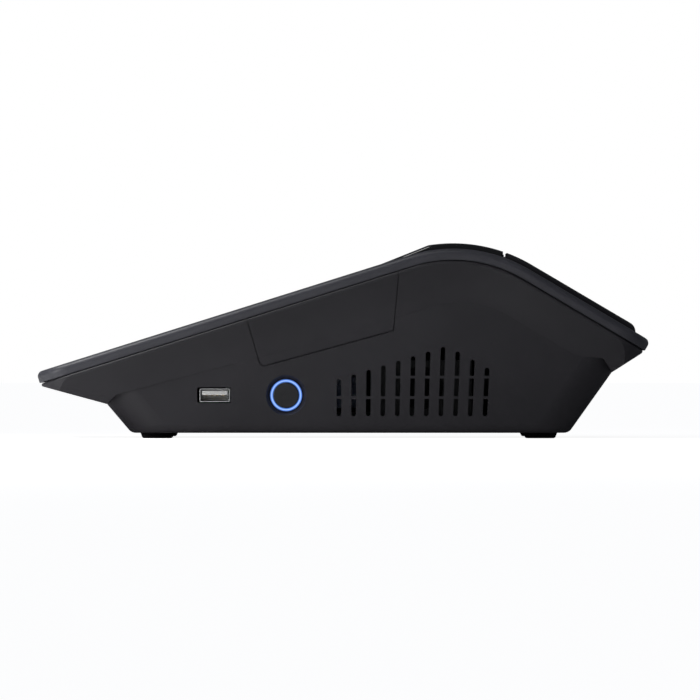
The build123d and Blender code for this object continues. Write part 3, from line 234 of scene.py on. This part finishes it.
def lit_light_guide(centre_y, centre_z, inner, outer):
    """Clear polycarbonate ring lit blue from behind: pale in the middle, deep blue at its edges."""
    material, tree, output = finish("lit polycarbonate light guide")
    place = add_node(tree, "ShaderNodeTexCoord").outputs["Object"]
    centred = add_node(tree, "ShaderNodeMapping",
                       {"Location": (0, -centre_y, -centre_z), "Scale": (0, 1, 1)},
                       {"Vector": place})
    radius = add_node(tree, "ShaderNodeVectorMath", links={0: centred.outputs["Vector"]},
                      operation="LENGTH")
    across = add_node(tree, "ShaderNodeMapRange", {"From Min": inner, "From Max": outer},
                      {"Value": radius.outputs["Value"]})
    glow = add_node(tree, "ShaderNodeValToRGB", links={"Fac": across.outputs["Result"]},
                    stops=[(0.0, linear("#0e2050")), (0.3, linear("#5f93f2")),
                           (0.5, linear("#b9d5ff")),
                           (0.7, linear("#5a8cf0")), (1.0, linear("#0d1d48"))])
    shader = add_node(tree, "ShaderNodeBsdfPrincipled",
                      {"Base Color": linear("#4a6ea8"), "Roughness": 0.3, "Emission Strength": 1.0},
                      {"Emission Color": glow.outputs["Color"]})
    close_finish(tree, output, shader)
    return material


def solder_masked_board():
    """Glass-epoxy board under green solder mask, its copper tracks just showing."""
    material, tree, output = finish("glass-epoxy board")
    place = add_node(tree, "ShaderNodeTexCoord").outputs["Object"]
    tracks = add_node(tree, "ShaderNodeTexBrick",
                      {"Scale": 1.0, "Color1": linear("#0d3a20"), "Color2": linear("#0f4425"),
                       "Mortar": linear("#2a6b3c"), "Brick Width": 5 * MM, "Row Height": 1.3 * MM,
                       "Mortar Size": 0.12 * MM}, {"Vector": place})
    shader = add_node(tree, "ShaderNodeBsdfPrincipled",
                      {"Roughness": 0.32, "IOR": 1.55, "Coat Weight": 0.3},
                      {"Base Color": tracks.outputs["Color"]})
    close_finish(tree, output, shader)
    return material


def bordered_glass(name, low, high, along, border, round_by, printed, active, haze):
    """Cover glass with an opaque border printed behind it round a darker active area.

    along is the unit vector that runs up the sloping panel.
    """
    material, tree, output = finish(name)
    place = add_node(tree, "ShaderNodeTexCoord").outputs["Object"]
    middle = [(p + q) / 2 for p, q in zip(low, high)]
    half_up = math.dist(low[1:], high[1:]) / 2 - border
    half_across = (high[0] - low[0]) / 2 - border
    centred = add_node(tree, "ShaderNodeVectorMath", {1: middle}, {0: place}, operation="SUBTRACT")
    up = add_node(tree, "ShaderNodeVectorMath", {1: along}, {0: centred.outputs[0]},
                  operation="DOT_PRODUCT")
    across = add_node(tree, "ShaderNodeSeparateXYZ", links={0: centred.outputs[0]})
    beyond = []
    for value, half in ((up.outputs["Value"], half_up), (across.outputs["X"], half_across)):
        size = add_node(tree, "ShaderNodeMath", links={0: value}, operation="ABSOLUTE")
        past = add_node(tree, "ShaderNodeMath", {1: half - round_by}, {0: size.outputs[0]},
                        operation="SUBTRACT")
        beyond.append(add_node(tree, "ShaderNodeMath", {1: 0.0}, {0: past.outputs[0]},
                               operation="MAXIMUM"))
    corner = add_node(tree, "ShaderNodeCombineXYZ",
                      links={0: beyond[0].outputs[0], 1: beyond[1].outputs[0]})
    reach = add_node(tree, "ShaderNodeVectorMath", links={0: corner.outputs[0]}, operation="LENGTH")
    edge = add_node(tree, "ShaderNodeMapRange",
                    {"From Min": round_by - 0.1 * MM, "From Max": round_by + 0.1 * MM},
                    {"Value": reach.outputs["Value"]})
    grid = add_node(tree, "ShaderNodeTexBrick",
                    {"Scale": 1.0, "Color1": linear(active), "Color2": linear(active),
                     "Mortar": linear("#0c0e12"), "Brick Width": 0.6 * MM,
                     "Row Height": 0.6 * MM, "Mortar Size": 0.04 * MM}, {"Vector": place})
    tint = add_node(tree, "ShaderNodeMix", {7: linear(printed)},
                    {"Factor": edge.outputs["Result"], 6: grid.outputs["Color"]}, data_type="RGBA")
    wiped = add_node(tree, "ShaderNodeTexNoise", {"Scale": per_metre(haze), "Detail": 5.0},
                     {"Vector": place})
    gloss = add_node(tree, "ShaderNodeMapRange", {"From Min": 0.35, "From Max": 0.7, "To Min": 0.04,
                                                  "To Max": 0.11}, {"Value": wiped.outputs["Fac"]})
    shader = add_node(tree, "ShaderNodeBsdfPrincipled",
                      {"IOR": 1.5, "Coat Weight": 0.4, "Coat Roughness": 0.03},
                      {"Base Color": tint.outputs[2], "Roughness": gloss.outputs["Result"]})
    close_finish(tree, output, shader)
    return material


def wound_paper(centre_y, centre_z):
    """Thermal paper wound in a roll: the layers show as fine rings on its ends."""
    material, tree, output = finish("wound thermal paper")
    place = add_node(tree, "ShaderNodeTexCoord").outputs["Object"]
    centred = add_node(tree, "ShaderNodeMapping",
                       {"Location": (0, -centre_y, -centre_z), "Scale": (0, 1, 1)},
                       {"Vector": place})
    radius = add_node(tree, "ShaderNodeVectorMath", links={0: centred.outputs["Vector"]},
                      operation="LENGTH")
    # real layers are 0.06 mm; drawn at 0.5 mm so they show
    layers = add_node(tree, "ShaderNodeMath", {1: 2 * math.pi / (0.5 * MM)},
                      {0: radius.outputs["Value"]},
                      operation="MULTIPLY")
    wave = add_node(tree, "ShaderNodeMath", links={0: layers.outputs[0]}, operation="SINE")
    tint = add_node(tree, "ShaderNodeValToRGB", links={"Fac": wave.outputs[0]},
                    stops=[(0.0, linear("#d9d7d0")), (0.6, linear("#f0efea"))])
    shader = add_node(tree, "ShaderNodeBsdfPrincipled", {"Roughness": 0.6},
                      {"Base Color": tint.outputs["Color"]})
    close_finish(tree, output, shader)
    return material


case_plastic = spark_eroded_abs("spark-eroded ABS", "#2d2b30", "#363439", 0.5)
crown_black = polished_abs()
button_black = spark_eroded_abs("satin ABS button", "#2a2a2d", "#313134", 0.38, 0.3, 0.01)
# painted light: the case's own ABS with its colour raised to stand in for the light the rim band
# reflects
rim_plastic_painted_lighter = spark_eroded_abs("spark-eroded ABS, upper shell painted lighter", "#46464c", "#515158", 0.38)
inner_black = spark_eroded_abs("glass-filled nylon", "#161617", "#1e1e20", 0.6, 0.8)
rubber = moulded_rubber()
zinc_steel = metal("zinc-plated sheet steel", "#b9bdc2", "#9ea3a9", 0.32, 3.0)
screw_steel = metal("zinc-plated screw steel", "#a9adb3", "#8b8f95", 0.3, 0.6)
ground_steel = metal("ground steel", "#c3c5c8", "#a8abb0", 0.22, 0.25, (0.05, 1, 1))
nickel = metal("nickel-plated steel", "#f0f0f0", "#dededf", 0.3, 1.5)
gold = metal("gold-plated contact", "#e0bd72", "#c99f4f", 0.2, 0.4)
extruded_aluminium = metal("extruded aluminium", "#c4c6ca", "#aeb1b6", 0.34, 0.5, (1, 0.04, 1))
tongue_white = plain_polymer("white polyester tongue", "#fbf9f3", "#ffffff", 0.4, 1.5)
acetal = plain_polymer("natural acetal", "#dcd9cf", "#ece9e0", 0.36, 2.5, 0.1)
head_glaze = plain_polymer("glazed alumina", "#cfcac0", "#e0dcd2", 0.2, 3.0)
kraft = plain_polymer("spiral kraft board", "#8d6c45", "#a5835a", 0.8, 1.0)
panel_black = plain_polymer("black display glass", "#0a0b0d", "#0f1113", 0.15, 20)
cone_pulp = plain_polymer("pulp speaker cone", "#121212", "#202020", 0.85, 0.8)
chip_green = solder_masked_board()

finishes = {
    "case_plastic": case_plastic, "piano_black": crown_black, "button_black": button_black,
    "inner_plastic": inner_black, "rubber": rubber, "screw_steel": screw_steel,
    "steel": ground_steel, "sheet_steel": zinc_steel, "socket_steel": nickel,
    "contact_brass": gold, "tongue_white": tongue_white,
    "lcd_black": cone_pulp,
    "display_glass": panel_black, "board_green": chip_green, "aluminium": extruded_aluminium,
    "gear_white": acetal, "head_ceramic": head_glaze, "cardboard": kraft,
}
ring_low, ring_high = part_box("led_ring")
finishes["led_blue"] = lit_light_guide((ring_low[1] + ring_high[1]) / 2,
                                       (ring_low[2] + ring_high[2]) / 2,
                                       RING_INNER, RING_OUTER)
finishes["screen_glass"] = bordered_glass("touch panel glass", *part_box("touch_glass"),
                                          (0, math.cos(SCREEN_SLOPE), math.sin(SCREEN_SLOPE)),
                                          9.5 * MM, 0.8 * MM, "#08080a", "#101318", 60)
finishes["smoked_window"] = bordered_glass("smoked acrylic window", *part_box("customer_window"),
                                           (0, -math.cos(REAR_SLOPE), math.sin(REAR_SLOPE)),
                                           4.5 * MM, 1.0 * MM, "#09090a", "#121512", 25)
roll_low, roll_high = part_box("paper_roll")
finishes["paper"] = wound_paper((roll_low[1] + roll_high[1]) / 2, (roll_low[2] + roll_high[2]) / 2)

usb_low, usb_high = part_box("usb_shell")
usb_centre = [(p + q) / 2 for p, q in zip(usb_low[1:], usb_high[1:])]
# the upper shell comes from a finer-textured tool, so it is glossier; its lighter colour is painted
# light standing in for the reflections its band catches
finishes_by_node = {"upper_housing": rim_plastic_painted_lighter,
                    "usb_shell": socket_metal_painted_shade("nickel-plated USB shell with painted shade", usb_high[0], usb_centre,
                                              (12.5 * MM, 5.1 * MM))}
for entry in frame["record"]["subparts"]:
    slots = parts[entry["node"]].data.materials
    slots.clear()
    slots.append(finishes_by_node.get(entry["node"], finishes[entry["material_slot"]]))

# ---------------------------------------------------------------- floor, light and camera
bpy.ops.object.select_all(action="DESELECT")
bpy.ops.mesh.primitive_plane_add(size=30, location=(0, 0, 0))
floor = bpy.context.object
floor.name = "floor"
paper, tree, output = finish("white studio paper")
place = add_node(tree, "ShaderNodeTexCoord").outputs["Object"]
fibre = add_node(tree, "ShaderNodeTexNoise", {"Scale": per_metre(2.0), "Detail": 3.0},
                 {"Vector": place})
tooth = add_node(tree, "ShaderNodeBump", {"Strength": 0.1, "Distance": 0.05 * MM},
                 {"Height": fibre.outputs["Fac"]})
sheet = add_node(tree, "ShaderNodeBsdfPrincipled",
                 {"Base Color": linear("#e4e4e4"), "Roughness": 0.95, "Specular IOR Level": 0.1,
                  "Emission Color": linear("#ffffff")}, {"Normal": tooth.outputs["Normal"]})
# the paper glows only to the eye, so it stays white without lighting the case from below
looked_at = add_node(tree, "ShaderNodeLightPath")
glow = add_node(tree, "ShaderNodeMath", {1: 0.9}, {0: looked_at.outputs["Is Camera Ray"]},
                operation="MULTIPLY")
tree.links.new(glow.outputs[0], sheet.inputs["Emission Strength"])
close_finish(tree, output, sheet)
floor.data.materials.append(paper)

world = bpy.data.worlds.new("studio")
bpy.context.scene.world = world
world.use_nodes = True
sky = world.node_tree
sky.nodes.clear()
seen = add_node(sky, "ShaderNodeBackground", {"Color": (1, 1, 1, 1), "Strength": 1.0})
felt = add_node(sky, "ShaderNodeBackground", {"Color": linear("#c9cdd6"), "Strength": 0.165})
path = add_node(sky, "ShaderNodeLightPath")
either = add_node(sky, "ShaderNodeMixShader", links={0: path.outputs["Is Camera Ray"],
                                                     1: felt.outputs[0], 2: seen.outputs[0]})
sky_output = sky.nodes.new("ShaderNodeOutputWorld")
sky.links.new(either.outputs[0], sky_output.inputs["Surface"])


def softbox(name, place, aim, width, height, power, spread):
    """A rectangular white area light that faces its aim; spread is in degrees."""
    light = bpy.data.lights.new(name, "AREA")
    light.shape, light.size, light.size_y = "RECTANGLE", width, height
    light.energy = power
    light.spread = math.radians(spread)
    holder = bpy.data.objects.new(name, light)
    bpy.context.scene.collection.objects.link(holder)
    holder.location = place
    toward = [a - b for a, b in zip(aim, place)]
    spin = math.atan2(-toward[0], toward[1])
    tilt = math.acos(-toward[2] / math.dist(aim, place))
    holder.rotation_euler = (tilt, 0, spin)


# aimed past the case, so only its soft spill falls on it
softbox("front overhead", (0.45, -0.7, 1.15), (0.82, -1.15, 0.05), 1.0, 0.9, 36, spread=120)
softbox("front side", (0.8, -0.8, 0.26), (0.13, -0.22, 0.02), 0.35, 0.35, 0.2, spread=48)

camera_data = bpy.data.cameras.new("camera")
camera = bpy.data.objects.new("camera", camera_data)
bpy.context.scene.collection.objects.link(camera)
# long lens, level with the middle of the case, square to the operator's right side
stand_off = 9.0
frame_width = 0.3045
near_face = cad_box[1][0]
look_y, look_z = 0.003, 0.0385
camera.location = (near_face + stand_off, look_y, look_z)
camera.rotation_euler = (math.radians(90), 0, math.radians(90))
camera_data.sensor_width = 36
camera_data.lens = 36 * stand_off / frame_width
camera_data.clip_end = 60
bpy.context.scene.camera = camera
bpy.context.scene.view_settings.view_transform = "Standard"
